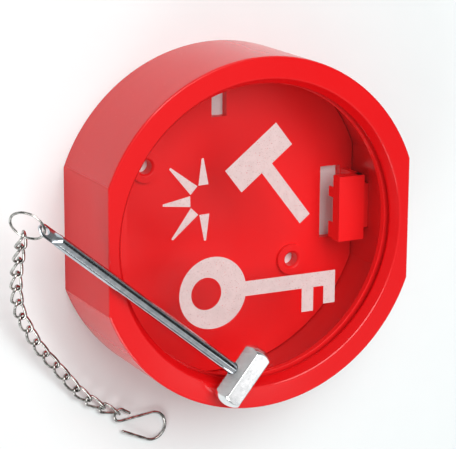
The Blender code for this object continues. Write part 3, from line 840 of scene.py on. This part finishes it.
# %% Hammer rod
EYE_STEPS = 12
round_end = HAMMER_LENGTH - EYE_LENGTH - EYE_TAPER
sections = [(ROD_START, ROD_RADIUS, ROD_RADIUS), (round_end, ROD_RADIUS, ROD_RADIUS)]
for step in range(1, EYE_STEPS + 1):
    share = step / EYE_STEPS
    ease = share * share * (3 - 2 * share)
    wide = ROD_RADIUS + ease * (EYE_WIDTH / 2 - ROD_RADIUS)
    thick = ROD_RADIUS + ease * (EYE_THICK / 2 - ROD_RADIUS)
    sections.append((round_end + share * EYE_TAPER, wide, thick))
for step in range(EYE_STEPS + 1):
    angle = radians(80 * step / EYE_STEPS)
    x = HAMMER_LENGTH - EYE_WIDTH / 2 + EYE_WIDTH / 2 * sin(angle)
    sections.append((x, EYE_WIDTH / 2 * cos(angle), EYE_THICK / 2))

rod = bmesh.new()
tip = bmesh.ops.create_circle(rod, cap_ends=True, segments=40, radius=1.0)["verts"]
bmesh.ops.rotate(rod, verts=tip, cent=(0, 0, 0), matrix=Matrix.Rotation(pi / 2, 3, "Y"))
bmesh.ops.scale(rod, vec=(1, sections[0][1], sections[0][2]), verts=tip)
bmesh.ops.translate(rod, vec=(sections[0][0], 0, 0), verts=tip)
face = rod.faces[:][0]
for before, after in zip(sections, sections[1:]):
    made = bmesh.ops.extrude_face_region(rod, geom=[face])["geom"]
    if before is not sections[0]:
        bmesh.ops.delete(rod, geom=[face], context="FACES_ONLY")
    face = next(item for item in made if isinstance(item, bmesh.types.BMFace))
    bmesh.ops.scale(rod, vec=(1, after[1] / before[1], after[2] / before[2]), verts=face.verts)
    bmesh.ops.translate(rod, vec=(after[0] - before[0], 0, 0), verts=face.verts)
pierce = drum(-3 * MM, 3 * MM, EYE_HOLE, 48)
bmesh.ops.translate(pierce, vec=(HAMMER_LENGTH - EYE_WIDTH / 2, 0, 0), verts=pierce.verts)
rod = joined(rod, [pierce], "DIFFERENCE")
finish_piece(
    "hammer_rod", rod, "hammer", "hammer_handle", rod_chrome, eye_frame, 35
)

# %% [markdown]
# ## Split ring
# The ring at the hammer's eye is two turns of springy flat wire, pressed against each other.  A
# small rounded profile is spun nearly twice round the axis while it climbs by about one wire,
# which is what the winding machine does, and its two cut ends stay in sight.

# %% Split ring
RING_RADIUS = 5.85 * MM
RING_NORMAL = Vector((-0.61, -0.54, 0.58)).normalized()
RING_WIRE = 1.0 * MM
WIRE_WIDE, WIRE_THICK = 0.84, 0.44  # the flat wire's section, as shares of that
RING_TURNS, RING_STEPS = 1.94, 150
RING_CLIMB = 0.52 * MM
RING_START = radians(60)
low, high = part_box("split_ring")
ring_centre = (low + high) / 2
ring_frame = frame_from(ring_centre, eye - ring_centre, RING_NORMAL)
ring = bmesh.new()
section = bmesh.ops.create_circle(ring, cap_ends=True, segments=12, radius=RING_WIRE / 2)["verts"]
bmesh.ops.rotate(ring, verts=section, cent=(0, 0, 0), matrix=Matrix.Rotation(pi / 2, 3, "X"))
bmesh.ops.scale(ring, vec=(WIRE_WIDE, 1, WIRE_THICK), verts=section)
bmesh.ops.translate(ring, vec=(RING_RADIUS, 0, -RING_CLIMB / 2), verts=section)
at_start = Matrix.Rotation(RING_START, 3, "Z")
bmesh.ops.rotate(ring, verts=section, cent=(0, 0, 0), matrix=at_start)
bmesh.ops.spin(
    ring,
    geom=ring.faces[:],
    cent=(0, 0, 0),
    axis=(0, 0, 1),
    dvec=(0, 0, RING_CLIMB / RING_STEPS),
    angle=2 * pi * RING_TURNS,
    steps=RING_STEPS,
    use_merge=False,
)
finish_piece("ring", ring, "ring", "split_ring", wire_nickel, ring_frame, 40)

# %% [markdown]
# ## Chain
# Each link is one oval of wire with a quarter twist, so that the chain lies flat as a curb chain
# does.  A wire loop is spun half a turn for the first end, pushed straight along the side, spun
# for the other end and pushed back.  The twist turns each vertex about the chain in proportion
# to how far along the link it is.  The joints of the frame say where the links meet, and near
# both ends of the chain the links are also rolled a little about its line.

# %% Chain
LINK_WIRE = 1.05 * MM
LINK_WIDTH = 4.5 * MM
LINK_GAP = 0.3 * MM
LINK_TWIST = radians(90)
LINKS = [name for name in frame["bodies"] if name.startswith("link_")]
ROLL_AT_RING, ROLL_AT_HOOK = -20.0, 40.0  # degrees about the chain, at its two ends
ROLL_LINKS = 4  # links over which each roll fades
crossings = [Vector(joints[name]["pos_m"]) for name in [*LINKS, "hook"]]
pitch = (crossings[1] - crossings[0]).length


def link_shape():
    """A twisted oval of wire along +X, its first end at the origin."""
    half_length = (pitch + LINK_WIRE + LINK_GAP) / 2
    half_width = (LINK_WIDTH - LINK_WIRE) / 2
    straight = half_length - half_width
    bm = bmesh.new()
    loop = bmesh.ops.create_circle(bm, segments=12, radius=LINK_WIRE / 2)["verts"]
    side_steps = 8
    bmesh.ops.rotate(bm, verts=loop, cent=(0, 0, 0), matrix=Matrix.Rotation(pi / 2, 3, "Y"))
    bmesh.ops.translate(bm, vec=(-straight, -half_width, 0), verts=loop)
    edges = bm.edges[:]
    for end in (1, -1):
        for _ in range(side_steps):
            made = bmesh.ops.extrude_edge_only(bm, edges=edges)["geom"]
            verts = [item for item in made if isinstance(item, bmesh.types.BMVert)]
            edges = [item for item in made if isinstance(item, bmesh.types.BMEdge)]
            push = (end * 2 * straight / side_steps, 0, 0)
            bmesh.ops.translate(bm, vec=push, verts=verts)
        last = bmesh.ops.spin(
            bm,
            geom=edges,
            cent=(end * straight, 0, 0),
            axis=(0, 0, 1),
            angle=pi,
            steps=16,
            use_merge=False,
        )["geom_last"]
        edges = [item for item in last if isinstance(item, bmesh.types.BMEdge)]
    # the loop has come back to where it started, and its last ring of points joins the first
    bmesh.ops.remove_doubles(bm, verts=bm.verts, dist=0.01 * MM)
    for vert in bm.verts:
        twist = Matrix.Rotation(LINK_TWIST * vert.co.x / (2 * half_length), 3, "X")
        vert.co = twist @ vert.co
    bmesh.ops.translate(bm, vec=(pitch / 2, 0, 0), verts=bm.verts)
    return bm


for number, name in enumerate(LINKS):
    start, end = crossings[number], crossings[number + 1]
    from_ring = max(0.0, 1 - number / ROLL_LINKS)
    from_hook = max(0.0, 1 - (len(LINKS) - 1 - number) / ROLL_LINKS)
    roll = radians(ROLL_AT_RING * from_ring + ROLL_AT_HOOK * from_hook)
    place = frame_from(start, end - start, (0, 0, 1)) @ Matrix.Rotation(roll, 4, "X")
    finish_piece(
        f"curb_{name}",
        link_shape(),
        name,
        f"chain_{name}",
        wire_nickel,
        place,
        60,
    )

# %% [markdown]
# ## S-hook
# The hook is one length of wire bent into an S: a small bend that the last link holds, and a
# wide open one.  The wire's end is extruded bend by bend, and both cut ends are rounded.

# %% S-hook
HOOK_WIRE = 1.05 * MM
SMALL, LARGE = 2.2 * MM, 5.1 * MM
SPACING = 14.4 * MM
TIP, TAIL = 3.4 * MM, 10.8 * MM
HOOK_TURN = radians(-25.6)
HOOK_CONTACT = radians(170)

along = (crossings[-1] - crossings[-2]).normalized()
held = crossings[-1] - along * (LINK_WIRE + LINK_GAP) / 2
contact = Vector((cos(HOOK_CONTACT), sin(HOOK_CONTACT), 0)) * SMALL
dip = asin((held.z - HOOK_WIRE / 2) / (SPACING + LARGE - contact.x))
across = Vector((cos(HOOK_TURN), sin(HOOK_TURN), 0))
hook_frame = (
    Matrix.Translation(held)
    @ frame_from((0, 0, 0), across * cos(dip) - Vector((0, 0, sin(dip))), (0, 0, 1))
    @ Matrix.Translation(-contact)
)
lean = asin((SMALL + LARGE) / SPACING)


def grown(bm, face, turn_at=None, angle=0.0, push=None, steps=1, shrink=1.0):
    """Extrudes an end face along a bend or a straight, and returns the new end face."""
    for _ in range(steps):
        made = bmesh.ops.extrude_face_region(bm, geom=[face])["geom"]
        bmesh.ops.delete(bm, geom=[face], context="FACES_ONLY")
        face = next(item for item in made if isinstance(item, bmesh.types.BMFace))
        if push is not None:
            bmesh.ops.translate(bm, vec=push / steps, verts=face.verts)
        else:
            turn = Matrix.Rotation(angle / steps, 3, "Z")
            bmesh.ops.rotate(bm, verts=face.verts, cent=turn_at, matrix=turn)
        middle = face.calc_center_median()
        bmesh.ops.translate(bm, vec=-middle, verts=face.verts)
        bmesh.ops.scale(bm, vec=(shrink,) * 3, verts=face.verts)
        bmesh.ops.translate(bm, vec=middle, verts=face.verts)
    return face


def blunted(bm, face, direction):
    """Rounds a cut end of the wire by three short pushes, each one narrower."""
    for reach in (0.12 * MM, 0.10 * MM, 0.06 * MM):
        face = grown(bm, face, push=Vector((direction * reach, 0, 0)), shrink=0.8)


hook = bmesh.new()
start = bmesh.ops.create_circle(hook, cap_ends=True, segments=16, radius=HOOK_WIRE / 2)["verts"]
bmesh.ops.rotate(hook, verts=start, cent=(0, 0, 0), matrix=Matrix.Rotation(pi / 2, 3, "Y"))
bmesh.ops.translate(hook, vec=(0, SMALL, 0), verts=start)
# a first, very short step leaves the starting face in place as the wire's other end
first = bmesh.ops.extrude_face_region(hook, geom=hook.faces[:])["geom"]
face = next(item for item in first if isinstance(item, bmesh.types.BMFace))
bmesh.ops.translate(hook, vec=(-0.001 * MM, 0, 0), verts=face.verts)
face = grown(hook, face, turn_at=(0, 0, 0), angle=pi + lean, steps=28)
down = Vector((cos(lean - pi / 2), sin(lean - pi / 2), 0)) * SMALL
up = Vector((SPACING, 0, 0)) + Vector((cos(pi / 2 + lean), sin(pi / 2 + lean), 0)) * LARGE
face = grown(hook, face, push=up - down, steps=10)
face = grown(hook, face, turn_at=(SPACING, 0, 0), angle=-(pi + lean), steps=36)
face = grown(hook, face, push=Vector((-TAIL, 0, 0)), steps=4)
blunted(hook, face, -1)
# of the two end faces, the starting one looks along +X
tips = [f for f in hook.faces if len(f.verts) > 4 and f.calc_center_median().y > 0]
tip_face = max(tips, key=lambda f: f.normal.x)
tip_face = grown(hook, tip_face, push=Vector((TIP, -TIP / 8, 0)), steps=4)
blunted(hook, tip_face, 1)
finish_piece("open_hook", hook, "hook", "s_hook", wire_nickel, hook_frame, 50)

# %% [markdown]
# ## Floor and light
# The box lies on a plain white table in a white studio.  The broad key light hangs overhead,
# towards the box's top edge, and a weaker one stands low off its bottom left.  A small card
# hangs just where the top facet of the hammer's head mirrors it into the camera.  The room is
# bright above and dim near the horizon, and one dark flag on the right draws the dark line down
# the rod.

# %% Floor
paper = Finish("white_paper")
fibre = paper.noise(12 * MM, 3.0)
tone = paper.mix(fibre, colour(0.77, 0.81, 0.81), colour(0.79, 0.83, 0.83))
paper.wear({"Base Color": tone, "Roughness": 0.9})
FLOOR_HALF = 3.0
FLOOR_DROP = 0.05 * MM
floor_bm = bmesh.new()
below = Matrix.Translation((0, 0, -FLOOR_DROP))
bmesh.ops.create_grid(floor_bm, x_segments=1, y_segments=1, size=FLOOR_HALF, matrix=below)
floor_mesh = bpy.data.meshes.new("floor")
floor_bm.to_mesh(floor_mesh)
floor_bm.free()
floor_mesh.materials.append(paper.material)
floor = bpy.data.objects.new("floor", floor_mesh)
scene.collection.objects.link(floor)
print("floor ready")


# %% Lights
def softbox(name, place, target, size, power):
    """A square light of so many metres and watts, aimed at a target."""
    light = bpy.data.lights.new(name, "AREA")
    light.shape = "SQUARE"
    light.size = size
    light.energy = power
    obj = bpy.data.objects.new(name, light)
    obj.matrix_world = look_at(Vector(place), Vector(target), (0, 1, 0.01))
    scene.collection.objects.link(obj)


softbox("key_light", (0.00, 0.48, 1.00), (0, 0, 0), size=0.8, power=11.4)
softbox("fill_light", (-0.60, -0.72, 0.42), (0, 0, 0), size=0.5, power=3.6)
CARD_REACH = 0.2
mirrored = (CAMERA_TARGET - CAMERA_AT).reflect(Vector((0, 0, 1))).normalized()
softbox("head_card", head_centre + mirrored * CARD_REACH, head_centre, size=0.05, power=0.009)

world = bpy.data.worlds.new("studio")
world.use_nodes = True
scene.world = world
room = Finish("studio", world.node_tree)
ROOM_STRENGTH = 1.15
direction = room.node("ShaderNodeTexCoord", out="Generated")
FLAG_AT = Vector((0.70, 0.11, 0.70)).normalized()
facing = room.node(
    "ShaderNodeVectorMath", {"operation": "DOT_PRODUCT"}, {0: direction, 1: FLAG_AT}, out="Value"
)
height = room.node("ShaderNodeSeparateXYZ", None, {"Vector": direction}, out="Z")
walls = room.ramp(height, (0.0, 0.2), (0.35, 0.2), (0.55, 0.6), (0.76, 0.42), (1.0, 0.38))
flag = room.ramp(facing, (0.90, 1.0), (0.945, 0.03))
background = world.node_tree.nodes["Background"]
room.put(background.inputs["Color"], room.mix(1.0, walls, flag, "MULTIPLY"))
background.inputs["Strength"].default_value = ROOM_STRENGTH
scene.view_settings.view_transform = "Standard"
print("lights and room ready")
